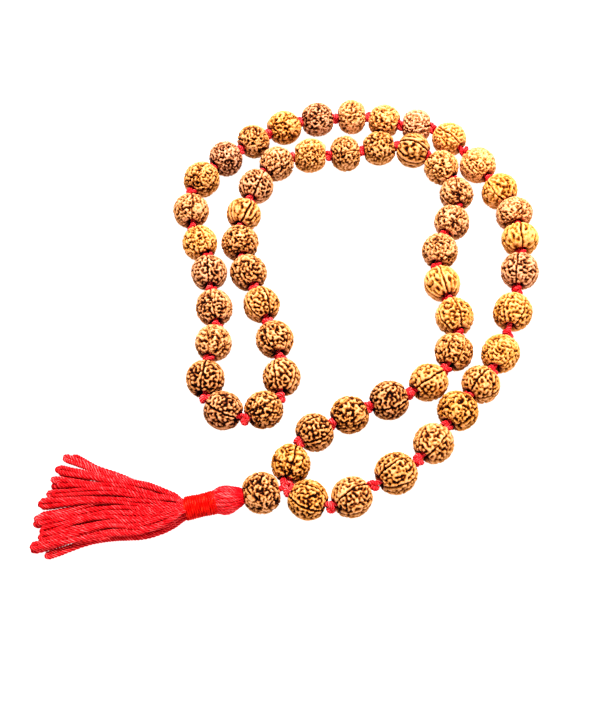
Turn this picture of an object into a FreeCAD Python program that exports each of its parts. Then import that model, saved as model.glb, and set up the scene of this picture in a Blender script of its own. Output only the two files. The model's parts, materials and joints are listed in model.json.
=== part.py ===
"""Half mala of 54 rudraksha beads and a guru bead, knotted on a red cotton string, with a tassel.

The beads lie on a table in one closed loop that never crosses itself. Millimetres, +Z up. The
origin is on the table under the middle of the whole object's box, +Y towards the far end of the
loop and -X towards the tassel.
"""
import FreeCAD, Part
import math
import os

V = FreeCAD.Vector
UP = V(0, 0, 1)

# String and knots
STRING_D = 1.6
KNOT_D = 3.2
GURU_KNOT_D = 4.0
TAIL_KNOT_D = 2.4
STRING_HEIGHT = 5.25  # of the string's centre above the table: the largest bead's radius

# Beads: a hole along the string, with a shallow dish round each end of it
BORE_D = 2.2
DISH_D = 4.4
DISH_DEPTH = 0.8
KNOT_GAP = 0.25  # between a knot and the dish that it sits in
ROUNDNESS = 0.93  # most beads' length over their diameter
FLAT_BEADS = {19: 0.84, 35: 0.84, 38: 0.80, 45: 0.80}  # the same for the flattest ones

# Each knot's place on the table, along the string from the guru knot. The string is straight
# through each bead and turns only in the knots.
KNOTS = [
    (-4.5, -54.5), (-1, -41.5), (7.5, -36.5), (17, -31.5), (28, -28), (38, -21),
    (42.5, -9.5), (40, 1), (37, 12), (40, 22.5), (45, 32), (44, 42.5),
    (37.5, 50.5), (28, 54.5), (17.5, 53), (8, 51.5), (-3, 51.5), (-11.5, 45),
    (-15, 35), (-18, 25), (-16.5, 15), (-13, 5), (-9, -6), (-5.5, -17),
    (-5, -29), (-14.5, -36), (-26, -29.5), (-24.5, -17.5), (-22.5, -7.5), (-25, 4.5),
    (-26, 15.5), (-31, 24.5), (-32, 38), (-26, 47), (-18.5, 53.5), (-10, 60),
    (-0.5, 64.5), (10, 66), (20, 66.5), (29.5, 63), (39, 62.5), (48.5, 53),
    (54.5, 42.5), (59.5, 34), (61, 25), (61, 15.5), (59, 4.5), (55, -10),
    (50, -21.5), (43, -28.5), (37, -37), (29.5, -47), (17.5, -53.5), (7, -60),
]
# Where crowded beads ride up on their neighbours, how far these knots are raised
RAISED_KNOTS = {12: 1.0, 13: 1.0, 44: 1.5, 45: 1.5}

# Diameters of beads 1 to 54, in order along the string
BEAD_DIAMETERS = [
    9.7, 9.8, 9.6, 10.0, 9.8, 10.0, 10.1, 9.7, 9.8, 9.8, 9.5, 9.7, 9.9, 9.7,
    10.2, 9.8, 9.8, 9.7, 9.6, 10.3, 9.9, 9.7, 9.9, 9.7, 9.8, 9.8, 9.9, 9.6,
    9.9, 9.6, 9.6, 9.8, 10.1, 9.9, 9.7, 9.8, 9.8, 10.0, 9.6, 9.7, 9.7, 10.2,
    10.4, 10.2, 10.2, 10.2, 10.4, 10.0, 10.0, 10.5, 10.1, 10.5, 10.1, 9.8,
]
GURU_BEAD_D = 10.4
GURU_BEAD_LENGTH = 9.0

# The lobe of the loop that can be lifted: it turns about the line through these two knots.
LOBE_KNOTS = (18, 32)
LOBE_GAP = 0.3  # between the lobe's string and the two knots that it turns in

# Tassel
TAIL_KNOT_GAP = 0.5  # from the guru bead's rim to the tail's end knot, which the tassel turns about
TASSEL_BEARING = 191.0  # degrees from +X of the guru bead and the wrapped neck
TASSEL_DROP = 6.0  # degrees that the neck slopes down
HEAD_GAP = 0.3
HEAD_LENGTH = 4.6
HEAD_D = 7.2
HEAD_TIP_D = 3.6
CORE_D = 5.2
WRAP_LENGTH = 8.2
WRAP_D = 6.2
SKIRT_PIVOT_GAP = 2.0  # from the wrap's end to the point about which the skirt bends
SKIRT_ROOT_D = 3.4
SKIRT_ROOT_WIDTH = 5.0
SKIRT_START = 1.3
SKIRT_EDGES = (149.0, 199.0)  # bearings of the fan's two sides
SKIRT_REACH = (34.0, 35.5, 34.5)  # at one side, in the middle and at the other side
SKIRT_TABLE_GAP = 0.2
SKIRT_ROOT_TOP = 5.2
SKIRT_TIP_TOP = 3.4


def knot_point(number):
    """The centre of a knot. Knot 0, the guru knot, is also the one after the last bead."""
    number %= len(KNOTS)
    return V(*KNOTS[number], STRING_HEIGHT + RAISED_KNOTS.get(number, 0.0))


def knot_diameter(number):
    return GURU_KNOT_D if number % len(KNOTS) == 0 else KNOT_D


def knot_to_rim(diameter):
    """How far a knot's centre has to stay from the rim of the dish that it sits in."""
    slope = math.hypot(DISH_DEPTH, (DISH_D - BORE_D) / 2)
    clear = (diameter / 2 + KNOT_GAP) * slope
    return (clear - DISH_D / 2 * DISH_DEPTH) / ((DISH_D - BORE_D) / 2)


def along(start, end):
    return (end - start).normalize()


def bearing_direction(degrees, drop=0.0):
    angle, slope = math.radians(degrees), math.radians(drop)
    return V(math.cos(angle) * math.cos(slope), math.sin(angle) * math.cos(slope), -math.sin(slope))


def placed(shape, centre, direction):
    """A shape made about +Z at the origin, moved to a centre and turned to a direction."""
    shape.Placement = FreeCAD.Placement(centre, FreeCAD.Rotation(UP, direction))
    return shape


def revolved(outline):
    """A solid of revolution about Z from a closed outline of edges in the XZ plane."""
    return Part.Face(Part.Wire(outline)).revolve(V(0, 0, 0), UP, 360)


def bead_solid(diameter, length):
    """A bead along Z: a round belly between two rims, a dish inside each rim and a hole through."""
    bore, rim, half = BORE_D / 2, DISH_D / 2, length / 2
    # A spline, because a revolved arc whose centre lies past the axis gets a wrong bounding box
    arc = Part.Arc(V(rim, 0, -half), V(diameter / 2, 0, 0), V(rim, 0, half))
    belly = arc.toBSpline().toShape()
    corners = [
        V(rim, 0, half),
        V(bore, 0, half - DISH_DEPTH),
        V(bore, 0, DISH_DEPTH - half),
        V(rim, 0, -half),
    ]
    sides = [Part.LineSegment(a, b).toShape() for a, b in zip(corners, corners[1:])]
    return revolved([belly] + sides)


def bead_place(number):
    """A bead's centre, the direction of its hole and its length, midway between its two knots."""
    start, end = knot_point(number - 1), knot_point(number)
    before = knot_to_rim(knot_diameter(number - 1))
    after = knot_to_rim(knot_diameter(number))
    room = (end - start).Length - before - after
    diameter = BEAD_DIAMETERS[number - 1]
    length = min(diameter * FLAT_BEADS.get(number, ROUNDNESS), room)
    direction = along(start, end)
    return start + direction * (before + room / 2), direction, length


def guru_bead_place():
    """The guru bead's centre and direction: it hangs outside the loop, on the string's tail."""
    direction = bearing_direction(TASSEL_BEARING)
    reach = knot_to_rim(GURU_KNOT_D) + GURU_BEAD_LENGTH / 2
    return knot_point(0) + direction * reach, direction


def tail_end():
    """The centre of the knot at the end of the string's tail, just outside the guru bead."""
    centre, direction = guru_bead_place()
    return centre + direction * (GURU_BEAD_LENGTH / 2 + TAIL_KNOT_GAP)


def string_run(start, end):
    """A straight length of string."""
    return Part.makeCylinder(STRING_D / 2, (end - start).Length, start, along(start, end))


def knot_ball(centre, diameter, neighbours):
    """A knot as a ball, with its seam on the side where no run to a neighbouring point leaves it."""
    outside = V()
    for point in neighbours:
        outside -= along(centre, point)
    ball = Part.makeSphere(diameter / 2)
    ball.Placement = FreeCAD.Placement(centre, FreeCAD.Rotation(V(1, 0, 0), outside))
    return ball


def knot(number):
    neighbours = [knot_point(number - 1), knot_point(number + 1)]
    if number == 0:
        neighbours.append(tail_end())
    return knot_ball(knot_point(number), knot_diameter(number), neighbours)


def joined(pieces):
    return pieces[0].fuse(pieces[1:]).removeSplitter()


def main_string():
    """The string of the loop that stays put, with its knots, and its tail through the guru bead."""
    first, last = LOBE_KNOTS
    numbers = list(range(last, len(KNOTS))) + list(range(first + 1))
    points = [knot_point(n) for n in numbers]
    pieces = [knot(n) for n in numbers]
    pieces += [string_run(a, b) for a, b in zip(points, points[1:])]
    pieces.append(string_run(knot_point(0), tail_end()))
    pieces.append(knot_ball(tail_end(), TAIL_KNOT_D, [knot_point(0)]))
    return joined(pieces)


def lobe_string():
    """The lobe's string, from just clear of one hinge knot to just clear of the other."""
    first, last = LOBE_KNOTS
    points = [knot_point(n) for n in range(first, last + 1)]
    clear = KNOT_D / 2 + LOBE_GAP
    points[0] += along(points[0], points[1]) * clear
    points[-1] += along(points[-1], points[-2]) * clear
    pieces = [knot(n) for n in range(first + 1, last)]
    pieces += [string_run(a, b) for a, b in zip(points, points[1:])]
    return joined(pieces)


def neck_point(distance):
    """A point on the tassel's neck, measured from the tail's end knot."""
    return tail_end() + bearing_direction(TASSEL_BEARING, TASSEL_DROP) * distance


HEAD_START = TAIL_KNOT_D / 2 + HEAD_GAP
WRAP_START = HEAD_START + HEAD_LENGTH
WRAP_END = WRAP_START + WRAP_LENGTH


def skirt_pivot():
    return neck_point(WRAP_END + SKIRT_PIVOT_GAP)


def tassel_head():
    """The bulb of folded yarn over the wrap, with the yarns' core that the wrap binds."""
    tip, widest, core = HEAD_TIP_D / 2, HEAD_D / 2, CORE_D / 2
    total = HEAD_LENGTH + WRAP_LENGTH
    bulge = Part.Arc(V(tip, 0, 0), V(widest, 0, HEAD_LENGTH * 0.55), V(core, 0, HEAD_LENGTH))
    corners = [V(core, 0, HEAD_LENGTH), V(core, 0, total), V(0, 0, total), V(0, 0, 0), V(tip, 0, 0)]
    sides = [Part.LineSegment(a, b).toShape() for a, b in zip(corners, corners[1:])]
    neck = bearing_direction(TASSEL_BEARING, TASSEL_DROP)
    return placed(revolved([bulge.toShape()] + sides), neck_point(HEAD_START), neck)


def tassel_wrap():
    """The winding of thread round the yarns, as one ring."""
    ring = Part.makeCylinder(WRAP_D / 2, WRAP_LENGTH).cut(Part.makeCylinder(CORE_D / 2, WRAP_LENGTH))
    neck = bearing_direction(TASSEL_BEARING, TASSEL_DROP)
    return placed(ring, neck_point(WRAP_START), neck)


def tassel_skirt():
    """The fan of loose strands on the table: a plan outline whose top slopes down to the tips."""
    pivot = skirt_pivot()
    centre = V(pivot.x, pivot.y, SKIRT_TABLE_GAP)
    first, last = SKIRT_EDGES
    middle = (first + last) / 2
    ahead, aside = bearing_direction(middle), bearing_direction(middle - 90)
    root = centre + ahead * SKIRT_START
    near = [root + aside * (SKIRT_ROOT_WIDTH / 2), root - aside * (SKIRT_ROOT_WIDTH / 2)]
    bearings = (first, middle, last)
    far = [centre + bearing_direction(b) * r for b, r in zip(bearings, SKIRT_REACH)]
    outline = Part.Wire([
        Part.LineSegment(near[1], near[0]).toShape(),
        Part.LineSegment(near[0], far[0]).toShape(),
        Part.Arc(*far).toShape(),
        Part.LineSegment(far[2], near[1]).toShape(),
    ])
    fan = Part.Face(outline).extrude(UP * (2 * SKIRT_ROOT_TOP))
    reach, width = max(SKIRT_REACH), 2 * max(SKIRT_REACH)
    side = [
        centre,
        centre + ahead * (reach + 1),
        centre + ahead * (reach + 1) + UP * (SKIRT_TIP_TOP - SKIRT_TABLE_GAP),
        centre + UP * (SKIRT_ROOT_TOP - SKIRT_TABLE_GAP),
    ]
    profile = Part.makePolygon([p + aside * (width / 2) for p in side + side[:1]])
    wedge = Part.Face(profile).extrude(aside * -width)
    return joined([fan.common(wedge), Part.makeSphere(SKIRT_ROOT_D / 2, pivot)])


def pieces():
    """Every piece of the object, as node name and solid."""
    yield "string", main_string()
    yield "string_lobe", lobe_string()
    for number, diameter in enumerate(BEAD_DIAMETERS, start=1):
        centre, direction, length = bead_place(number)
        yield f"bead_{number:02d}", placed(bead_solid(diameter, length), centre, direction)
    centre, direction = guru_bead_place()
    yield "guru_bead", placed(bead_solid(GURU_BEAD_D, GURU_BEAD_LENGTH), centre, direction)
    yield "tassel_head", tassel_head()
    yield "tassel_wrap", tassel_wrap()
    yield "tassel_skirt", tassel_skirt()


def main():
    os.makedirs("parts", exist_ok=True)
    for name, shape in pieces():
        solid = shape.Solids[0]
        if len(shape.Solids) != 1 or not solid.isValid():
            raise ValueError(f"{name} isn't one valid solid")
        solid.exportStep(f"parts/{name}.step")


main()
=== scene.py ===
"""The looks of the mala: 54 rudraksha beads and a guru bead on a knotted red string, with a tassel.

Lengths are in metres, as in the frame, and MM turns millimetres into them.
"""
import bpy
import json
import math
import numpy as np
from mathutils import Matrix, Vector


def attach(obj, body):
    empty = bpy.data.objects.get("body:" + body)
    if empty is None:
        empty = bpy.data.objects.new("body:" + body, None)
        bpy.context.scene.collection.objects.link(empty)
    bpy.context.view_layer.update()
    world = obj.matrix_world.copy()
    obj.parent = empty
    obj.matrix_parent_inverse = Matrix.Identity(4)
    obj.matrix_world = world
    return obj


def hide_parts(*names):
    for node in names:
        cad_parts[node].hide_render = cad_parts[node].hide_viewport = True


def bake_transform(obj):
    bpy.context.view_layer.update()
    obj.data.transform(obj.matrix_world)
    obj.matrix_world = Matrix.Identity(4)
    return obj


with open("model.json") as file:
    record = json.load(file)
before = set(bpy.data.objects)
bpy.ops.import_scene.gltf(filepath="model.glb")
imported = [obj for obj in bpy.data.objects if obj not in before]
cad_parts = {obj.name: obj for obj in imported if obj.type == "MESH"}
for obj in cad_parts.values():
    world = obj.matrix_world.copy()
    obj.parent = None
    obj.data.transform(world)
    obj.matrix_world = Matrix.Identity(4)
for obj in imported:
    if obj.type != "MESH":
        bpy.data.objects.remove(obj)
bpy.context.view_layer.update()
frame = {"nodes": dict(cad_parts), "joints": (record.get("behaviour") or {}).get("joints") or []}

MM = 0.001
TAU = 2 * math.pi
scene = bpy.context.scene
collection = scene.collection
joints = {joint["name"]: joint for joint in frame["joints"]}

# Camera: as the photograph was taken, from in front and 60 degrees up
LOOK_AT = Vector((-0.5, -16.5, 5.25)) * MM
CAMERA_ELEVATION = math.radians(60)
CAMERA_DISTANCE = 304 * MM
CAMERA_LENS = 58.15
CAMERA_SENSOR = 36
TO_CAMERA = Vector((0, -math.cos(CAMERA_ELEVATION), math.sin(CAMERA_ELEVATION)))

# The string's route: the places of its knots in millimetres, as in part.py
STRING_HEIGHT = 5.25
KNOTS = [
    (-4.5, -54.5), (-1, -41.5), (7.5, -36.5), (17, -31.5), (28, -28), (38, -21),
    (42.5, -9.5), (40, 1), (37, 12), (40, 22.5), (45, 32), (44, 42.5),
    (37.5, 50.5), (28, 54.5), (17.5, 53), (8, 51.5), (-3, 51.5), (-11.5, 45),
    (-15, 35), (-18, 25), (-16.5, 15), (-13, 5), (-9, -6), (-5.5, -17),
    (-5, -29), (-14.5, -36), (-26, -29.5), (-24.5, -17.5), (-22.5, -7.5), (-25, 4.5),
    (-26, 15.5), (-31, 24.5), (-32, 38), (-26, 47), (-18.5, 53.5), (-10, 60),
    (-0.5, 64.5), (10, 66), (20, 66.5), (29.5, 63), (39, 62.5), (48.5, 53),
    (54.5, 42.5), (59.5, 34), (61, 25), (61, 15.5), (59, 4.5), (55, -10),
    (50, -21.5), (43, -28.5), (37, -37), (29.5, -47), (17.5, -53.5), (7, -60),
]
RAISED_KNOTS = {12: 1.0, 13: 1.0, 44: 1.5, 45: 1.5}  # how far above the other knots
LOBE_KNOTS = (18, 32)  # the two that the lobe folds about
STRING_D = 1.6 * MM
STRING_PITCH = 3.2 * MM


def camera():
    data = bpy.data.cameras.new("camera")
    data.sensor_width = CAMERA_SENSOR
    data.lens = CAMERA_LENS
    data.clip_start, data.clip_end = 0.01, 10
    piece = bpy.data.objects.new("camera", data)
    piece.location = LOOK_AT + TO_CAMERA * CAMERA_DISTANCE
    piece.rotation_mode = "QUATERNION"
    piece.rotation_quaternion = (-TO_CAMERA).to_track_quat("-Z", "Y")
    collection.objects.link(piece)
    scene.camera = piece


# ---------------------------------------------------------------- geometry helpers

def unit(vector):
    vector = np.asarray(vector, float)
    return vector / np.linalg.norm(vector, axis=-1, keepdims=True)


def smooth(t):
    """A step from 0 to 1 that starts and ends gently."""
    t = np.clip(t, 0, 1)
    return t * t * (3 - 2 * t)


def span(node, origin, direction):
    """Along a line: where a CAD node starts and ends, and its largest distance from the line."""
    count = len(frame["nodes"][node].data.vertices)
    corners = np.empty(count * 3)
    frame["nodes"][node].data.vertices.foreach_get("co", corners)
    corners = corners.reshape(-1, 3) - origin
    along = corners @ direction
    away = np.linalg.norm(corners - along[:, None] * direction, axis=1)
    return along.min(), along.max(), away.max()


def sides_of(direction):
    """Two directions across a line: one level and one nearest to up."""
    up = np.array((0, 0, 1.0))
    level = unit(np.cross(up, direction))
    return level, np.cross(direction, level)


def spline_points(points, steps):
    """Points along the smooth line of a route: a NURBS spline with the route as its control points."""
    curve = bpy.data.curves.new("route", "CURVE")
    curve.dimensions = "3D"
    curve.resolution_u = steps
    spline = curve.splines.new("NURBS")
    spline.points.add(len(points) - 1)
    for point, place in zip(spline.points, points):
        point.co = (*place, 1)
    spline.order_u = 3
    spline.use_endpoint_u = True
    piece = bpy.data.objects.new("route", curve)
    collection.objects.link(piece)
    bpy.context.view_layer.update()
    mesh = bpy.data.meshes.new_from_object(piece)
    found = np.array([v.co for v in mesh.vertices])
    bpy.data.objects.remove(piece)
    bpy.data.curves.remove(curve)
    bpy.data.meshes.remove(mesh)
    return found


def lengths_along(path):
    """How far along a path each point is, and the whole way round if the path is closed."""
    gaps = np.linalg.norm(np.roll(path, -1, 0) - path, axis=1)
    return np.concatenate([[0], np.cumsum(gaps[:-1])]), gaps.sum()


def resampled(path, step):
    """The same line with its points an even step apart."""
    path = np.asarray(path, float)
    reach, _ = lengths_along(path)
    count = max(int(round(reach[-1] / step)), 2) + 1
    even = np.linspace(0, reach[-1], count)
    return np.stack([np.interp(even, reach, path[:, k]) for k in range(3)], axis=1)


def frame_along(path, closed):
    """A path's direction, and two directions across it that don't turn round it."""
    if closed:
        tangent = unit(np.roll(path, -1, 0) - np.roll(path, 1, 0))
    else:
        tangent = unit(np.gradient(path, axis=0))
    normal = np.empty_like(path)
    normal[0] = unit(np.cross(tangent[0], (0.3, 0.2, 1.0)))
    for i in range(1, len(path)):
        level = normal[i - 1] - tangent[i] * (normal[i - 1] @ tangent[i])
        normal[i] = level / math.sqrt(level @ level)
    return tangent, normal, np.cross(tangent, normal)


FATNESS_WAVES = (1.9 * MM, 0.7 * MM)  # lengths over which a yarn's width varies
FATNESS_CHANGE = 0.035
TWIST_WAVE = 3.1 * MM  # the length over which an open yarn's twist varies
TWIST_CHANGE = 1.5
YARN_GAP = 61.7  # keeps the yarns apart in the noise that makes their fibres
TONE_PHASE = 12.9  # gives each yarn a tone unlike that of the next


class Yarns:
    """Many plied yarns in one mesh. Each is a tube with a rope-like section that twists."""

    def __init__(self):
        self.points = []
        self.faces = []
        self.strand = []
        self.shade = []
        self.count = 0

    def add(self, path, radius, sides=12, plies=3, pitch=2.4 * MM, groove=0.12, closed=False, light=0):
        """One yarn along a path, painted paler where light is above 0 and darker where it is below:
        painted light and painted shade, added to each yarn's own random paleness.
        """
        path = np.asarray(path, float)
        rings = len(path)
        number = len(self.points)
        tangent, normal, other = frame_along(path, closed)
        length, whole = lengths_along(path)
        if closed:
            pitch = whole / max(round(whole / pitch), 1)
            # The frame comes back turned, so that turn is spread over the whole length
            last = normal[-1] - tangent[0] * (normal[-1] @ tangent[0])
            drift = math.atan2(last @ other[0], last @ normal[0])
            turn = TAU * length / pitch - drift * length / whole
        else:
            turn = TAU * length / pitch + TWIST_CHANGE * np.sin(length / TWIST_WAVE + 2 * number)
        angle = np.arange(sides) * TAU / sides
        around = angle[None, :] + turn[:, None]
        slow, fast = FATNESS_WAVES
        uneven = 1 + FATNESS_CHANGE * np.sin(length / slow + 5 * number) * np.sin(length / fast)
        width = (np.broadcast_to(np.asarray(radius, float), (rings,)) * uneven)[:, None]
        lobes = width * (1 - groove + groove * np.cos(plies * angle))[None, :]
        points = (
            path[:, None, :]
            + (lobes * np.cos(around))[:, :, None] * normal[:, None, :]
            + (lobes * np.sin(around))[:, :, None] * other[:, None, :]
        )
        strand = np.empty((rings, sides, 3))
        strand[:, :, 0] = (length / MM)[:, None] + YARN_GAP * number
        strand[:, :, 1] = np.cos(angle)
        strand[:, :, 2] = np.sin(angle)
        tone = light + math.sin(TONE_PHASE * (number + 1))
        self.points.append(points.reshape(-1, 3))
        self.strand.append(strand.reshape(-1, 3))
        self.shade.append(np.repeat(np.broadcast_to(tone, (rings,)), sides))
        self.add_faces(rings, sides, closed)

    def add_faces(self, rings, sides, closed):
        index = self.count + np.arange(rings * sides).reshape(rings, sides)
        first, second = (index, np.roll(index, -1, 0)) if closed else (index[:-1], index[1:])
        quads = np.stack([first, np.roll(first, -1, 1), np.roll(second, -1, 1), second], axis=-1)
        self.faces += quads.reshape(-1, 4).tolist()
        if not closed:
            self.faces += [index[0, ::-1].tolist(), index[-1].tolist()]
        self.count += rings * sides

    def piece(self, name, material):
        mesh = bpy.data.meshes.new(name)
        mesh.from_pydata(np.concatenate(self.points).tolist(), [], self.faces)
        strand = mesh.attributes.new("strand", "FLOAT_VECTOR", "POINT")
        strand.data.foreach_set("vector", np.concatenate(self.strand).astype(np.float32).ravel())
        shade = mesh.attributes.new("shade", "FLOAT", "POINT")
        shade.data.foreach_set("value", np.concatenate(self.shade).astype(np.float32))
        return piece_of(name, mesh, material)


def piece_of(name, mesh, material):
    mesh.shade_smooth()
    mesh.materials.append(material)
    piece = bpy.data.objects.new(name, mesh)
    collection.objects.link(piece)
    return piece


# ---------------------------------------------------------------- materials

def new_material(name):
    """A material with its shader, and a function that adds nodes to it."""
    material = bpy.data.materials.new(name)
    material.use_nodes = True
    nodes, links = material.node_tree.nodes, material.node_tree.links
    shader = next(n for n in nodes if n.type == "BSDF_PRINCIPLED")

    def node(kind, inputs=None, **settings):
        made = nodes.new(kind)
        for key, value in settings.items():
            setattr(made, key, value)
        for key, value in (inputs or {}).items():
            if isinstance(value, bpy.types.NodeSocket):
                links.new(value, made.inputs[key])
            else:
                made.inputs[key].default_value = value
        return made

    return material, shader, node, links


def ramp(node, factor, stops):
    made = node("ShaderNodeValToRGB", {"Fac": factor})
    elements = made.color_ramp.elements
    while len(elements) < len(stops):
        elements.new(0.5)
    for element, (position, colour) in zip(elements, stops):
        element.position = position
        element.color = (*colour, 1)
    return made.outputs["Color"]


def rudraksha_material():
    """Golden-brown ridges over dark crevices, whose near-black is partly the seed's own colour and
    partly painted shade. Each bead's relief, rosiness and lightness are in its vertices; the lightness
    is partly painted light.
    """
    material, shader, node, links = new_material("rudraksha")
    relief = node("ShaderNodeAttribute", attribute_name="relief").outputs["Fac"]
    rosy = node("ShaderNodeAttribute", attribute_name="rosy").outputs["Fac"]
    tone = node("ShaderNodeAttribute", attribute_name="tone").outputs["Fac"]
    place = node("ShaderNodeTexCoord").outputs["Object"]
    grain = node("ShaderNodeTexNoise", {"Vector": place, "Scale": 2600.0, "Detail": 5.0,
                                        "Roughness": 0.6})
    patches = node("ShaderNodeTexNoise", {"Vector": place, "Scale": 420.0, "Detail": 3.0})
    worn = node("ShaderNodeMath", {0: grain.outputs["Fac"], 1: 0.34, 2: -0.17},
                operation="MULTIPLY_ADD")
    level = node("ShaderNodeMath", {0: relief, 1: worn.outputs[0]}, operation="ADD").outputs[0]
    # near-black at low relief: partly the seed's own darker crevices, partly painted shade
    golden = ramp(node, level, [
        (0.04, (0.008, 0.0013, 0.0003)), (0.22, (0.085, 0.0145, 0.001)), (0.40, (0.27, 0.082, 0.009)),
        (0.60, (0.45, 0.197, 0.030)), (0.80, (0.63, 0.287, 0.072)), (1.0, (0.80, 0.385, 0.165)),
    ])
    pink = ramp(node, level, [
        (0.04, (0.008, 0.0016, 0.001)), (0.22, (0.078, 0.016, 0.006)), (0.40, (0.23, 0.076, 0.035)),
        (0.60, (0.38, 0.169, 0.080)), (0.80, (0.56, 0.275, 0.155)), (1.0, (0.75, 0.41, 0.285)),
    ])
    mixed = node("ShaderNodeMix", {"Factor": rosy, "A": golden, "B": pink}, data_type="RGBA")
    patchy = node("ShaderNodeMath", {0: patches.outputs["Fac"], 1: 0.5, 2: 0.75},
                  operation="MULTIPLY_ADD")
    # scales the colour by each bead's lightness, which is partly painted light
    toned = node("ShaderNodeMath", {0: patchy.outputs[0], 1: tone}, operation="MULTIPLY")
    coloured = node("ShaderNodeVectorMath", {0: mixed.outputs["Result"]}, operation="SCALE")
    links.new(toned.outputs[0], coloured.inputs["Scale"])
    links.new(coloured.outputs["Vector"], shader.inputs["Base Color"])
    rough = node("ShaderNodeMapRange", {"Value": level, "To Min": 0.9, "To Max": 0.36})
    links.new(rough.outputs["Result"], shader.inputs["Roughness"])
    bump = node("ShaderNodeBump", {"Height": grain.outputs["Fac"], "Strength": 0.5, "Distance": 0.00006})
    links.new(bump.outputs["Normal"], shader.inputs["Normal"])
    shader.inputs["Specular IOR Level"].default_value = 0.15
    return material


def yarn_material(name, reds, roughness, sheen, fibres=(0.9, 5.0), plies=3, painted_ply_shading=0.22):
    """Twisted thread: fibres run along the strand, in the strand's own coordinates, and its plies are
    painted brighter on their crests, a painted highlight, and darker in the grooves between them,
    painted shade."""
    material, shader, node, links = new_material(name)
    dark, middle, crest_highlight_red = reds
    strand = node("ShaderNodeAttribute", attribute_name="strand").outputs["Vector"]
    along, across = fibres
    stretched = node("ShaderNodeMapping", {"Vector": strand, "Scale": (along, across, across)})
    lint = node("ShaderNodeTexNoise", {"Vector": stretched.outputs["Vector"], "Scale": 1.0,
                                       "Detail": 4.0, "Roughness": 0.65})
    length = node("ShaderNodeMapping", {"Vector": strand, "Scale": (0.35, 0.4, 0.4)})
    patches = node("ShaderNodeTexNoise", {"Vector": length.outputs["Vector"], "Scale": 1.0,
                                          "Detail": 2.0})
    parts = node("ShaderNodeSeparateXYZ", {"Vector": strand}).outputs
    angle = node("ShaderNodeMath", {0: parts["Z"], 1: parts["Y"]}, operation="ARCTAN2")
    phase = node("ShaderNodeMath", {0: angle.outputs[0], 1: float(plies)}, operation="MULTIPLY")
    ply_light_mask = node("ShaderNodeMath", {0: phase.outputs[0]}, operation="COSINE")
    mixed = node("ShaderNodeMath", {0: patches.outputs["Fac"], 1: 0.65, 2: lint.outputs["Fac"]},
                 operation="MULTIPLY_ADD")
    # the shade attribute: each yarn's own random paleness, and on the tassel's bulb painted light and
    # painted shade
    shade = node("ShaderNodeAttribute", attribute_name="shade").outputs["Fac"]
    mixed = node("ShaderNodeMath", {0: shade, 1: 0.06, 2: mixed.outputs[0]}, operation="MULTIPLY_ADD")
    # painted highlight on each ply's crest and painted shade in the grooves between the plies
    ply_shaded_level = node("ShaderNodeMath", {0: ply_light_mask.outputs[0], 1: painted_ply_shading, 2: mixed.outputs[0]},
                  operation="MULTIPLY_ADD")
    level = node("ShaderNodeMath", {0: ply_shaded_level.outputs[0], 1: 0.325}, operation="SUBTRACT").outputs[0]
    between = tuple(0.88 * a + 0.12 * b for a, b in zip(middle, crest_highlight_red))
    colour = ramp(node, level, [(0.20, dark), (0.46, middle), (0.66, between), (0.92, crest_highlight_red)])
    links.new(colour, shader.inputs["Base Color"])
    bump = node("ShaderNodeBump", {"Height": lint.outputs["Fac"], "Strength": 0.35, "Distance": 0.00012})
    links.new(bump.outputs["Normal"], shader.inputs["Normal"])
    shader.inputs["Roughness"].default_value = roughness
    shader.inputs["Specular IOR Level"].default_value = 0.08
    shader.inputs["Sheen Weight"].default_value = sheen
    shader.inputs["Sheen Roughness"].default_value = 0.4
    shader.inputs["Sheen Tint"].default_value = (1.0, 0.35, 0.35, 1)
    return material


def floor_material():
    """White with a trace of cloud. It glows a little, as the photograph's background is pure white."""
    material, shader, node, links = new_material("floor_white")
    place = node("ShaderNodeTexCoord").outputs["Object"]
    cloud = node("ShaderNodeTexNoise", {"Vector": place, "Scale": 6.0, "Detail": 2.0})
    colour = ramp(node, cloud.outputs["Fac"], [(0.3, (0.115,) * 3), (0.7, (0.125,) * 3)])
    links.new(colour, shader.inputs["Base Color"])
    shader.inputs["Emission Color"].default_value = (1, 1, 1, 1)
    shader.inputs["Emission Strength"].default_value = 0.70
    shader.inputs["Roughness"].default_value = 0.9
    return material


# ---------------------------------------------------------------- string and knots

KNOT_POINTS = 72
# A knot of width 1, in millimetres: its trefoil across and along the string, and its cord's radius
KNOT_WIDTH = 0.40
KNOT_LENGTH = 0.62
KNOT_CORD = 0.62
KNOT_LEAN = 0.28  # how much further along the string a side of the knot is, for its distance out
GURU_KNOT = 0.95  # widths of the two knots at the guru bead and of the one that ends the tail
END_KNOT = 0.66
GURU_KNOTS_ASIDE = 1.35 * MM  # from the middle between the two
STRING_GROOVE = 0.10


def knot_place(number):
    number %= len(KNOTS)
    x, y = KNOTS[number]
    return np.array((x, y, STRING_HEIGHT + RAISED_KNOTS.get(number, 0))) * MM


def knot_centre(number):
    """Between the route's corner and the smooth line that passes inside it."""
    here = knot_place(number)
    inside = (knot_place(number - 1) + 6 * here + knot_place(number + 1)) / 8
    return (here + inside) / 2


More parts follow.
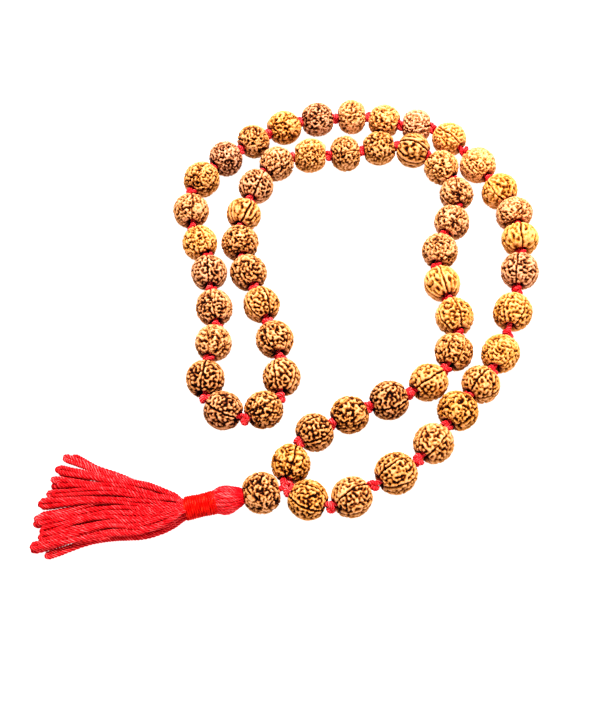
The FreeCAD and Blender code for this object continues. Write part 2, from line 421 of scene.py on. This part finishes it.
def tie(yarns, centre, direction, rng, width=1.0):
    """An overhand knot pulled tight: a trefoil round the string."""
    t = np.arange(KNOT_POINTS) * TAU / KNOT_POINTS
    level, upright = sides_of(unit(direction))
    start = rng.uniform(0, TAU)
    out = (np.sin(t) + 2 * np.sin(2 * t)) * KNOT_WIDTH
    up = (np.cos(t) - 2 * np.cos(2 * t)) * KNOT_WIDTH
    lean = KNOT_LEAN * out * math.cos(start) + KNOT_LEAN * up * math.sin(start)
    ahead = -np.sin(3 * t) * KNOT_LENGTH + lean
    first = level * math.cos(start) + upright * math.sin(start)
    second = upright * math.cos(start) - level * math.sin(start)
    path = centre + MM * width * (
        out[:, None] * first + up[:, None] * second + ahead[:, None] * unit(direction)
    )
    yarns.add(path, KNOT_CORD * MM * width, pitch=1.9 * MM, groove=STRING_GROOVE, closed=True)


def tie_knots(yarns, numbers, rng):
    """A knot at each of these corners of the route, and two of them at the guru bead."""
    for number in numbers:
        centre = knot_centre(number)
        direction = knot_place(number + 1) - knot_place(number - 1)
        if number == 0:
            aside = unit(direction) * GURU_KNOTS_ASIDE
            tie(yarns, centre - aside, direction, rng, GURU_KNOT)
            tie(yarns, centre + aside, direction, rng, GURU_KNOT)
        else:
            tie(yarns, centre, direction, rng)


def string_tail(rng, material):
    """The string's end, through the guru bead to the knot that the tassel hangs from."""
    start = knot_centre(0)
    end = np.array(joints["guru_tassel_swing"]["pos_m"])
    tail = Yarns()
    route = resampled([start, end], 0.3 * MM)
    tail.add(route, STRING_D / 2, pitch=STRING_PITCH, groove=STRING_GROOVE)
    tie(tail, end, end - start, rng, END_KNOT)
    return tail.piece("string_tail", material)


def string_pieces(material):
    """The string as two cords, which meet in the knots that the lobe folds about, and its knots."""
    first, last = LOBE_KNOTS
    rng = np.random.default_rng(7)
    runs = {
        "string": ("loop", list(range(last, len(KNOTS))) + list(range(first + 1)), 0.432),
        "string_lobe": ("lobe", list(range(first, last + 1)), 0.156),
    }
    for name, (body, numbers, length) in runs.items():
        path = spline_points([knot_place(n) for n in numbers], steps=26)
        cord = Yarns()
        cord.add(path, STRING_D / 2, pitch=STRING_PITCH, groove=STRING_GROOVE)
        piece = cord.piece(name + "_cord", material)
        knots = Yarns()
        tie_knots(knots, numbers if body == "loop" else numbers[1:-1], rng)
        extras = [knots.piece(name + "_knots", material)]
        if body == "loop":
            extras.append(string_tail(rng, material))
        for made in [piece] + extras:
            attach(made, body)
            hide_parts(name)


# ---------------------------------------------------------------- beads

SEGMENTS = 192
BELLY_ROWS = 76
DISH_ROWS = 5
BORE_ROWS = 3
BEAD_ROWS = BELLY_ROWS + 2 * DISH_ROWS + BORE_ROWS
BORE_RADIUS = 1.1 * MM
RIM_RADIUS = 2.2 * MM
DISH_DEPTH = 0.8 * MM
CREVICE_DEPTH = 0.78 * MM
KNOB_RISE = 0.32 * MM  # how far the knobs stand out of the CAD's smooth bead
SWELL_DEPTH = 0.10 * MM  # of the slow hollows between groups of knobs
LOPSIDED_DEPTH = 0.18 * MM  # of the flatter sides that keep a seed from being quite round
FINE_GRAIN = 0.2 * MM
SEAMS = 5  # from pole to pole
SEAM_WIDTH = 0.12 * MM
LIP_WIDTH = 0.2 * MM
LIP_PLACE = 0.5 * MM  # from the middle of the seam
GURU = 55  # the guru bead's number, after those of the string's 54

# Tones as in the photograph: beads that are rosier, more golden, paler or darker than most. The paleness
# is partly the beads' own colour and partly painted light, strongest on the beads at the back right.
ROSY = {1: 0.05, 2: 0.35, 4: 0.45, 5: 0.15, 6: 0.3, 7: 0.1, 8: 0.1, 9: 0.5, 10: 0.6, 11: 0.55, 12: 0.35,
        15: 0.4, 17: 0.6, 18: 0.7, 20: 0.4, 21: 0.45, 23: 0.4, 24: 0.4, 25: 0.35, 26: 0.6, 27: 0.45,
        28: 0.5, 29: 0.6, 30: 0.7, 31: 0.15, 32: 0.5, 33: 0.2, 34: 0.9, 35: 0.35, 36: 0.05, 37: 0.8,
        38: 0.45, 39: 0.25, 40: 0.8, 41: 0.1, 42: 0.3, 43: 0, 44: 0.55, 45: 0, 46: 0.75, 47: 0.1,
        48: 0.05, 50: 0.05, 51: 0.35, 53: 0.4, 54: 0.1, 55: 0.45}
MOSTLY_ROSY = 0.25
PALE = {7: 0.4, 8: 0.6, 9: 0.1, 10: 0.2, 12: 0.4, 16: 0.45, 31: 0.5, 36: 0.25, 38: 0.7, 39: 1.0,
        40: 1.05, 41: 1.3, 42: 1.2, 43: 0.9, 44: 0.65, 45: 0.65, 47: 0.4, 48: 0.4}
DARK = {1: 0.5, 2: 1.2, 3: 1.2, 4: 1.8, 5: 0.15, 6: 0.45, 13: 0.7, 14: 0.2, 15: 0.15, 17: 0.2, 18: 0.4,
        19: 0.2, 20: 0.5, 21: 0.8, 22: 0.35, 23: 0.65, 24: 0.7, 25: 1.2, 26: 1.5, 27: 1.4, 29: 0.4,
        30: 0.6, 33: 0.2, 34: 0.75, 35: 0.3, 37: 0.4, 46: 0.2, 49: 0.3, 50: 0.65, 51: 0.2, 52: 0.75,
        53: 0.5, 54: 1.0, 55: 1.2}
# Beads with long ridges from pole to pole, with wormlike ridges and with finer knobs than most
RIDGED = (45, 8, 19, 13)
WORMY = (2, 4, 18, 26, 27, 53, 46, 54, 24, 30, 7, 22, 41, 43, 47, 51, 52, 5, 49)
FINE = (37, 38, 39, 40, 42, 9, 33)
# Where a seam faces the camera, how far it is turned from facing it, in degrees
SEAM_FACES = {1: 0, 19: -12, 8: 4, 54: -20, 13: 20, 11: 0, 45: 5, 32: 10, 22: 40}


def bead_profile(radius, half):
    """Rows of a bead's section, out along the belly and back through the hole: (radius, height)."""
    drop = radius - RIM_RADIUS
    sweep = (drop ** 2 + half ** 2) / (2 * drop)
    reach = math.asin(half / sweep)
    turn = np.linspace(reach, -reach, BELLY_ROWS)
    belly = np.stack([radius - sweep + sweep * np.cos(turn), sweep * np.sin(turn)], axis=1)
    t = np.linspace(0, 1, DISH_ROWS + 1)[1:]
    dish = np.stack([RIM_RADIUS + (BORE_RADIUS - RIM_RADIUS) * t, -half + DISH_DEPTH * t], axis=1)
    depth = half - DISH_DEPTH
    heights = np.linspace(-depth, depth, BORE_ROWS + 2)[1:-1]
    bore = np.stack([np.full(BORE_ROWS, BORE_RADIUS), heights], axis=1)
    rows = np.concatenate([belly, dish, bore, dish[::-1] * (1, -1)])
    for _ in range(3):  # rounds the rims
        rounded = (np.roll(rows, 1, 0) + 2 * rows + np.roll(rows, -1, 0)) / 4
        near_rim = np.hypot(rows[:, 0] - RIM_RADIUS, np.abs(rows[:, 1]) - half) < 0.7 * MM
        rows = np.where(near_rim[:, None], rounded, rows)
    return rows


class Surface:
    """Patterns on the grid of a bead's belly: rows from pole to pole, segments round it."""

    def __init__(self, radius, half):
        rows = bead_profile(radius, half)[:BELLY_ROWS]
        gaps = np.linalg.norm(np.diff(rows, axis=0), axis=1)
        self.radius = rows[:, 0]
        self.place = np.concatenate([[0], np.cumsum(gaps)])
        self.cell = rows[:, 0] * TAU / SEGMENTS
        self.waves = np.arange(SEGMENTS // 2 + 1) * TAU / SEGMENTS
        self.theta = np.arange(SEGMENTS) * TAU / SEGMENTS

    def blur(self, field, around, along):
        damping = np.exp(-0.5 * ((around / self.cell)[:, None] * self.waves) ** 2)
        kernel = np.exp(-0.5 * ((self.place[:, None] - self.place) / along) ** 2)
        kernel /= kernel.sum(axis=1, keepdims=True)
        return kernel @ np.fft.irfft(np.fft.rfft(field, axis=1) * damping, SEGMENTS, axis=1)

    def noise(self, rng, size):
        return even(self.blur(rng.standard_normal((BELLY_ROWS, SEGMENTS)), size, size))

    def ripples(self, rng, size, stretch=1.0, rounds=1, push=0.0):
        """Noise kept between two widths, which makes lumps, and ever longer ridges with more rounds."""
        field = self.noise(rng, 0.1 * MM)
        for _ in range(rounds):
            thin = self.blur(field, size, size * stretch)
            thick = self.blur(field, 1.6 * size, 1.6 * size * stretch)
            field = np.tanh(0.9 * even(thin - thick)) + push
        return even(field)

    def seams(self, rng, start):
        """The natural seams from pole to pole, slightly wavy: their crevices, and a lip on each side."""
        crevice = np.zeros((BELLY_ROWS, SEGMENTS))
        lip = np.zeros_like(crevice)
        for seam in range(SEAMS):
            long_wave = 0.04 * np.sin(self.place / (2.0 * MM) + rng.uniform(0, TAU))
            short_wave = 0.02 * np.sin(self.place / (0.8 * MM) + rng.uniform(0, TAU))
            jitter = rng.normal(0, 0.05) if seam else 0
            middle = start + seam * TAU / SEAMS + jitter + long_wave + short_wave
            apart = (self.theta - middle[:, None] + math.pi) % TAU - math.pi
            apart = np.abs(apart) * self.radius[:, None]
            crevice += np.exp(-0.5 * (apart / SEAM_WIDTH) ** 2)
            lip += np.exp(-0.5 * ((apart - LIP_PLACE) / LIP_WIDTH) ** 2)
        return np.clip(crevice, 0, 1), np.clip(lip, 0, 1)


def even(field):
    field = field - field.mean()
    return field / field.std()


def bead_relief(number, surface):
    """A bead's relief, from 0 in its crevices to 1 on its highest knobs, and the depth of its dents."""
    rng = np.random.default_rng(1000 + number)
    if number in SEAM_FACES:
        start = facing(number) + math.radians(SEAM_FACES[number])
        seam_depth = 0.9 - 0.35 * min(PALE.get(number, 0), 1)
    else:
        start = rng.uniform(0, TAU)
        seam_depth = rng.uniform(0.2, 0.75)
    crevice, lip = surface.seams(rng, start)
    heights = surface.noise(rng, 0.5 * MM)
    if number in RIDGED:
        ridges = surface.ripples(rng, 0.25 * MM, 1.7, 3, 0.4 * lip - 0.9 * crevice)
        level = ridges + 0.45 * surface.noise(rng, FINE_GRAIN) + 0.35 * heights + 0.75
        steepness = 1.5
    elif number in WORMY:
        size = rng.uniform(0.22, 0.26) * MM
        ridges = surface.ripples(rng, size, 1.0, 2, 0.35 * lip - 0.8 * crevice)
        level = ridges + 0.5 * surface.noise(rng, FINE_GRAIN) + 0.35 * heights + 0.55
        steepness = 1.5
    else:  # knobs that meet in narrow creases
        size = 0.38 * MM if number in FINE else rng.uniform(0.50, 0.60) * MM
        lumps = np.abs(surface.ripples(rng, size) + 0.35 * surface.ripples(rng, FINE_GRAIN))
        ridges = surface.ripples(rng, rng.uniform(0.23, 0.28) * MM)
        grain = surface.noise(rng, 0.14 * MM)
        level = 0.8 * (lumps - 0.8) + 0.65 * ridges + 0.35 * heights + 0.3 * grain + 0.3
        steepness = 2.0
    relief = (1 - seam_depth * crevice) / (1 + np.exp(-steepness * level))
    hollows = 0.5 * (1 - np.tanh(surface.noise(rng, 1.2 * MM)))
    flats = 0.5 * (1 - np.tanh(surface.noise(rng, 2.6 * MM)))
    return relief, hollows * SWELL_DEPTH + flats * LOPSIDED_DEPTH


def bead_node(number):
    return "guru_bead" if number == GURU else f"bead_{number:02d}"


def bead_line(number):
    joint = joints["spin_" + bead_node(number)]
    return np.array(joint["pos_m"], float), unit(joint["axis"])


def facing(number):
    """The angle round a bead's line at which its surface faces the camera."""
    _, axis = bead_line(number)
    level, upright = sides_of(axis)
    view = np.array(TO_CAMERA)
    return math.atan2(view @ upright, view @ level)


def bead_template():
    """The grid that every bead's mesh starts from, closed round the bead and through its hole."""
    index = np.arange(BEAD_ROWS * SEGMENTS).reshape(BEAD_ROWS, SEGMENTS)
    below = np.roll(index, -1, 0)
    quads = np.stack([index, below, np.roll(below, -1, 1), np.roll(index, -1, 1)], axis=-1)
    template = bpy.data.meshes.new("bead_grid")
    flat = np.zeros((BEAD_ROWS * SEGMENTS, 3))
    template.from_pydata(flat.tolist(), [], quads.reshape(-1, 4).tolist())
    return template


def bead_shape(number):
    """The points of a bead's grid, and how high each is in its relief."""
    centre, axis = bead_line(number)
    low, high, radius = span(bead_node(number), centre, axis)
    centre = centre + axis * (low + high) / 2
    half = (high - low) / 2
    rows = bead_profile(radius, half)
    slope = np.roll(rows, -1, 0) - np.roll(rows, 1, 0)
    normal = unit(np.stack([-slope[:, 1], slope[:, 0]], axis=1))
    relief, dents = bead_relief(number, Surface(radius, half))
    height = np.zeros((BEAD_ROWS, SEGMENTS))
    height[:BELLY_ROWS] = relief
    for step in range(DISH_ROWS):  # the relief dies out in the dishes
        left = 1 - (step + 1) / (DISH_ROWS + 1)
        height[BELLY_ROWS + step] = relief[-1] * left
        height[BEAD_ROWS - 1 - step] = relief[0] * left
    sunk = np.zeros((BEAD_ROWS, SEGMENTS))
    sunk[:BELLY_ROWS] = (1 - relief) * CREVICE_DEPTH + dents - KNOB_RISE
    sunk *= smooth((rows[:, 0] - RIM_RADIUS) / (1.0 * MM) + 0.25)[:, None]
    out = rows[:, 0, None] - sunk * normal[:, 0, None]
    up = rows[:, 1, None] - sunk * normal[:, 1, None]
    level, upright = sides_of(axis)
    theta = np.arange(SEGMENTS) * TAU / SEGMENTS
    around = np.cos(theta)[:, None] * level + np.sin(theta)[:, None] * upright
    return centre + out[:, :, None] * around[None] + up[:, :, None] * axis, height


def bead_pieces(material):
    template = bead_template()
    for number in range(1, GURU + 1):
        node = bead_node(number)
        points, height = bead_shape(number)
        mesh = template.copy()
        mesh.name = node + "_seed"
        mesh.vertices.foreach_set("co", points.astype(np.float32).ravel())
        pale, dark = PALE.get(number, 0), DARK.get(number, 0)
        # paler beads get lighter crevices and a higher lightness: partly their own colour, partly
        # painted light
        values = {
            "relief": height ** max(0.45, 1 - 0.36 * pale + 0.75 * dark),
            "rosy": np.full(height.shape, ROSY.get(number, MOSTLY_ROSY)),
            "tone": np.full(height.shape, 1.0 + 0.12 * pale - 0.06 * dark),
        }
        for key, value in values.items():
            made = mesh.attributes.new(key, "FLOAT", "POINT")
            made.data.foreach_set("value", value.astype(np.float32).ravel())
        piece = piece_of(node + "_seed", mesh, material)
        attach(piece, node)
        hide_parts(node)
    bpy.data.meshes.remove(template)


# ---------------------------------------------------------------- tassel

YARN_RADIUS = 0.60 * MM
YARN_STEP = 0.30 * MM
LEG_POINTS = 90
HEAD_RIBS = 22
RIB_RADIUS = 0.455 * MM
HEAD_TWIST = 0.45  # the turn of the ribs from the guru bead to the wrap, in radians
# The bulb's radius along the neck, both in millimetres. At the last two places it is widest.
HEAD_PLACES = np.array((-0.5, 0.3, 1.4, 3.3, 4.9))
HEAD_RADII = np.array((1.9, 2.4, 2.85))
WRAP_TURNS = 13
WRAP_WOBBLE = 0.05 * MM
LAYERS = (11, 10, 9, 8)  # folded yarns in each layer of the skirt, from the table up
LAYER_RISE = 0.80 * MM
INSIDE_WRAP = 1.5 * MM  # the skirt's yarns start this far back
SKIRT_FALL = 13 * MM  # how far ahead of the wrap the yarns lie flat and are at full width
FOLD_SPREAD = 1.84  # the shares of the skirt's width that the row of tips is spread over
TIP_PULL = 0.65  # how strongly a fold is drawn to the nearest tip, from 0 to 1
# The skirt from above, in millimetres ahead of the wrap: how far its two edges are from the
# middle of the wrap, and where its tips lie, from the far side to the near side
FAN_AHEAD = np.array((0, 4, 9, 18))
FAR_EDGE = np.array((2.5, 5.1, 7.5, 10.3))
NEAR_EDGE = np.array((-2.5, -4.6, -6.3, -7.3))
TIPS = np.array([
    (30.6, 15.4), (33.2, 11.2), (33.3, 7.6), (33.9, 4.7), (36.0, 2.4), (36.4, -1.2),
    (36.4, -3.0), (34.1, -5.2), (34.6, -7.2), (36.8, -9.2), (33.9, -10.5),
])


def neck():
    """The tassel's neck: its end at the guru bead, its direction, and two directions across it."""
    start = np.array(joints["guru_tassel_swing"]["pos_m"], float)
    end = np.array(joints["skirt_bend"]["pos_m"], float)
    direction = unit(end - start)
    level, upright = sides_of(direction)
    return start, direction, level, upright


def turned(start, reach, radius, angle):
    """Points round the neck, at distances along it, from it and round it."""
    _, direction, level, upright = neck()
    return (
        start
        + np.outer(reach, direction)
        + np.outer(radius * np.cos(angle), level)
        + np.outer(radius * np.sin(angle), upright)
    )


def curve_through(x, places, values):
    """A smooth line through a few values, by cubic interpolation."""
    slopes = np.gradient(values, places)
    i = np.clip(np.searchsorted(places, x) - 1, 0, len(places) - 2)
    gap = places[i + 1] - places[i]
    t = (x - places[i]) / gap
    return (
        values[i] * (2 * t ** 3 - 3 * t ** 2 + 1)
        + values[i + 1] * (3 * t ** 2 - 2 * t ** 3)
        + slopes[i] * gap * (t ** 3 - 2 * t ** 2 + t)
        + slopes[i + 1] * gap * (t ** 3 - t ** 2)
    )


def tassel_head_piece(material):
    """The bulb: yarns gathered at the tail's knot, folded over the neck and run into the wrap."""
    start, direction, _, _ = neck()
    wrap_start, _, wrap_radius = span("tassel_wrap", start, direction)
    _, _, widest = span("tassel_head", start, direction)
    wrap_places = (wrap_start, wrap_start + 1.5 * MM)
    wrap_outer = (wrap_radius, wrap_radius - 0.6 * MM)
    places = np.append(HEAD_PLACES * MM, wrap_places)
    outer = np.concatenate([HEAD_RADII * MM, (widest, widest), wrap_outer])
    rng = np.random.default_rng(3)
    yarns = Yarns()
    reach = np.linspace(places[0], places[-1], 46)
    profile = curve_through(reach, places, outer)
    share = (reach - reach[0]) / (reach[-1] - reach[0])
    # painted light: the bulb is painted paler; painted shade: it is painted darker in the folds at the
    # guru bead
    light = 1.6 - 3.6 * smooth(1 - reach / (2.4 * MM))  # darker in the folds at the guru bead
    for number in range(HEAD_RIBS):
        angle = TAU * number / HEAD_RIBS + HEAD_TWIST * share + rng.normal(0, 0.025)
        fat = np.minimum(RIB_RADIUS * rng.uniform(0.92, 1.10), 0.22 * profile)
        uneven = 0.06 * MM * np.sin(TAU * share * rng.uniform(0.6, 1.2) + rng.uniform(0, TAU))
        path = turned(start, reach, profile - fat + uneven, angle)
        yarns.add(path, fat, sides=16, plies=4, pitch=3.6 * MM, groove=0.08, light=light)
    core = turned(start, reach, 0 * reach, 0 * reach)
    yarns.add(core, profile - 0.5 * MM, sides=32, plies=1, pitch=1.0, groove=0.0)
    piece = yarns.piece("tassel_bulb", material)
    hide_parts("tassel_head")
    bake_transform(piece)


def tassel_wrap_piece(material):
    """The winding: one thread in close turns round the neck."""
    start, direction, _, _ = neck()
    first, last, radius = span("tassel_wrap", start, direction)
    thread = (last - first) / WRAP_TURNS / 2
    t = np.linspace(0, 1, WRAP_TURNS * 72)
    rng = np.random.default_rng(5)
    knots = np.linspace(0, 1, WRAP_TURNS * 3)
    along_wobble = np.interp(t, knots, rng.normal(0, WRAP_WOBBLE, len(knots)))
    out_wobble = np.interp(t, knots, rng.normal(0, WRAP_WOBBLE, len(knots)))
    reach = first + thread + (last - first - 2 * thread) * t + along_wobble
    waist = 0.14 * MM * np.sin(math.pi * t)
    away = radius - 1.05 * thread - np.abs(out_wobble) - waist
    yarns = Yarns()
    winding = turned(start, reach, away, TAU * WRAP_TURNS * t)
    yarns.add(winding, thread * 1.03, sides=16, plies=5, pitch=2.4 * MM, groove=0.05)
    reach = np.linspace(first + 0.2 * MM, last - 0.2 * MM, 30)
    core = turned(start, reach, 0 * reach, 0 * reach)
    yarns.add(core, radius - 1.5 * thread, sides=40, plies=1, pitch=1.0, groove=0.0)
    piece = yarns.piece("tassel_winding", material)
    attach(piece, "tassel")
    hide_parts("tassel_wrap")


def tip_place(share, rng):
    """Where a fold lies, from its share of the fan's width: drawn towards the nearest tip."""
    order = np.clip(0.5 - share / FOLD_SPREAD, 0, 1) * (len(TIPS) - 1)
    nearest = TIPS[int(round(order))]
    between = np.array([np.interp(order, range(len(TIPS)), TIPS[:, k]) for k in (0, 1)])
    drawn = between + TIP_PULL * (nearest - between)
    return drawn - (abs(rng.normal(0, 0.9)), rng.normal(0, 0.25))


def slow_wave(t, heights, turns, rng):
    """A wave along a yarn, its height in millimetres and its turns within these limits."""
    return rng.uniform(*heights) * MM * np.sin(TAU * (rng.uniform(*turns) * t + rng.uniform()))


def skirt_leg(mouth, share, lift, layer, tip, rng):
    """One half of a folded yarn, from inside the wrap to its fold. Share runs from -1 at the
    skirt's near side to 1 at its far side."""
    _, direction, level, upright = neck()
    ahead, aside = (-1, 0, 0), (0, 1, 0)
    reach = tip[0] * MM
    t = np.linspace(0, 1, LEG_POINTS)
    x = -INSIDE_WRAP + (reach + INSIDE_WRAP) * t
    places = np.append(FAN_AHEAD, tip[0]) * MM
    edges = (FAR_EDGE * (1 + share) + NEAR_EDGE * (1 - share)) / 2
    edges += rng.normal(0, 1, len(edges)) * (0, 0.2, 0.35, 0.45)
    lane = curve_through(np.maximum(x, 0), places, np.append(edges, tip[1]) * MM)
    lane += slow_wave(t, (0.10, 0.42), (0.8, 2.2), rng) * smooth(2 * t) * smooth(4 - 4 * t)
    bob = slow_wave(t, (0.05, 0.25), (0.8, 2.0), rng)
    height = YARN_RADIUS + 0.1 * MM + LAYER_RISE * layer * (1 - 0.2 * t) + bob
    lying = mouth + np.outer(x, ahead) + np.outer(lane, aside)
    lying[:, 2] = height
    chord = math.sqrt(1 - lift ** 2)
    spot = (-level * share * chord + upright * lift) * FAR_EDGE[0] * MM
    bound = mouth + np.outer(x, direction) + spot
    turn = smooth((x + INSIDE_WRAP) / (4 * MM))[:, None]
    down = smooth(x / SKIRT_FALL)
    path = bound * (1 - turn) + lying * turn
    path[:, 2] = bound[:, 2] * (1 - down) + lying[:, 2] * down
    return path


def folded_yarn(mouth, share, half_gap, lift, layer, rng):
    """One yarn: out from the wrap, round in a hairpin at its tip, and back."""
    tip = tip_place(share, rng)
    legs = [
        skirt_leg(mouth, share + side * half_gap, lift, layer, tip, rng)
        for side in (-1, 1)
    ]
    middle = (legs[0] + legs[1]) / 2
    closing = smooth((np.linspace(0, 1, len(middle)) - 0.70) / 0.30)[:, None]
    onward = unit(middle[-1] - middle[-8])
    across = unit(np.cross((0, 0, -1.0), onward) + (0, 0, rng.normal(0, 0.25)))
    gap = across * rng.uniform(0.52, 0.74) * MM
    legs = [
        leg * (1 - closing) + (middle + side * gap) * closing
        for leg, side in zip(legs, (-1, 1))
    ]
    turn = np.linspace(0, math.pi, 12)[1:-1]
    loop = middle[-1] - np.outer(np.cos(turn), gap) + np.outer(np.sin(turn) * 0.8 * MM, onward)
    path = resampled(np.concatenate([legs[0], loop, legs[1][::-1]]), YARN_STEP)
    order = np.arange(len(path))
    from_wrap = np.minimum(order, order[::-1]) * YARN_STEP
    fat = YARN_RADIUS * rng.uniform(0.93, 1.07) * (0.62 + 0.38 * smooth(from_wrap / SKIRT_FALL))
    path[:, 2] = np.maximum(path[:, 2], fat + 0.05 * MM)
    return path, fat


def tassel_skirt_pieces(material):
    """The skirt: folded yarns that leave the wrap together and fan out on the table in layers."""
    start, direction, _, _ = neck()
    _, wrap_end, _ = span("tassel_wrap", start, direction)
    mouth = start + wrap_end * direction
    rng = np.random.default_rng(11)
    for part, layers in {"tassel_fan_lower": (0, 1), "tassel_fan_upper": (2, 3)}.items():
        yarns = Yarns()
        for layer in layers:
            folds = LAYERS[layer]
            lift = -0.75 + 1.5 * layer / (len(LAYERS) - 1)
            spread = 1 - 0.05 * layer
            for fold in range(folds):
                share = spread * (2 * (fold + 0.5) / folds - 1) + rng.normal(0, 0.25 / folds)
                share = float(np.clip(share, -0.97, 0.97))
                path, fat = folded_yarn(mouth, share, spread * 0.5 / folds, lift, layer, rng)
                yarns.add(path, fat, sides=16, plies=4, pitch=3.3 * MM, groove=0.14)
        piece = yarns.piece(part, material)
        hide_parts("tassel_skirt")
        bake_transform(piece)


# ---------------------------------------------------------------- floor and light

FLOOR_REACH = 3.0
LAMP_COLOUR = (1.0, 0.98, 0.95)


def floor():
    """A square of floor, low enough for the knobs on the beads' undersides."""
    mesh = bpy.data.meshes.new("floor")
    sides = ((-1, -1), (1, -1), (1, 1), (-1, 1))
    corners = [(x * FLOOR_REACH, y * FLOOR_REACH, -KNOB_RISE) for x, y in sides]
    mesh.from_pydata(corners, [], [(0, 1, 2, 3)])
    piece = piece_of("floor", mesh, floor_material())


def area_light(name, place, size, power):
    """A round lamp that faces the origin."""
    data = bpy.data.lights.new(name, "AREA")
    data.shape = "DISK"
    data.size = size
    data.energy = power
    data.color = LAMP_COLOUR
    piece = bpy.data.objects.new(name, data)
    piece.location = place
    piece.rotation_mode = "QUATERNION"
    piece.rotation_quaternion = (-Vector(place)).to_track_quat("-Z", "Y")
    collection.objects.link(piece)


def studio_world():
    """A white backdrop behind the floor's far edge, and a dimmer ceiling."""
    world = bpy.data.worlds.new("studio")
    world.use_nodes = True
    nodes, links = world.node_tree.nodes, world.node_tree.links
    background = nodes["Background"]
    place = nodes.new("ShaderNodeTexCoord")
    parts = nodes.new("ShaderNodeSeparateXYZ")
    links.new(place.outputs["Generated"], parts.inputs["Vector"])
    fade = nodes.new("ShaderNodeMapRange")
    links.new(parts.outputs["Z"], fade.inputs["Value"])
    for name, value in {"From Min": 0.30, "From Max": 0.45, "To Min": 0.9, "To Max": 0.22}.items():
        fade.inputs[name].default_value = value
    links.new(fade.outputs["Result"], background.inputs["Strength"])
    background.inputs["Color"].default_value = (1, 1, 1, 1)
    return world


def lights():
    area_light("key", place=(0.04, 0.33, 0.73), size=0.28, power=12.3)
    area_light("fill", place=(0.20, -0.60, 0.52), size=0.35, power=2.2)
    scene.world = studio_world()
    scene.view_settings.view_transform = "Standard"
    scene.view_settings.look = "High Contrast"


# Each red is its colour in the folds, partly painted shade, on most of the yarn, and on its crests, a
# painted highlight
COTTON_REDS = ((0.42, 0.003, 0.007), (0.70, 0.020, 0.032), (0.92, 0.25, 0.23))
THREAD_REDS = ((0.22, 0.001, 0.001), (0.62, 0.005, 0.003), (0.88, 0.09, 0.03))
YARN_REDS = ((0.24, 0.0005, 0.003), (0.60, 0.003, 0.011), (0.90, 0.20, 0.20))

camera()
cotton = yarn_material("red_cotton", COTTON_REDS, 0.7, 0.08)
satin = yarn_material("wrap_thread", THREAD_REDS, 0.36, 0.0, (0.05, 2.0), plies=1, painted_ply_shading=0.12)
yarn = yarn_material("tassel_yarn", YARN_REDS, 0.62, 0.04, plies=4, painted_ply_shading=0.26)
# the bulb's copy of the skirt's yarn, with a weaker painted highlight on its crests
folded = yarn_material("folded_yarn", YARN_REDS, 0.62, 0.04, plies=4, painted_ply_shading=0.10)
string_pieces(cotton)
bead_pieces(rudraksha_material())
tassel_head_piece(folded)
tassel_wrap_piece(satin)
tassel_skirt_pieces(yarn)
floor()
lights()
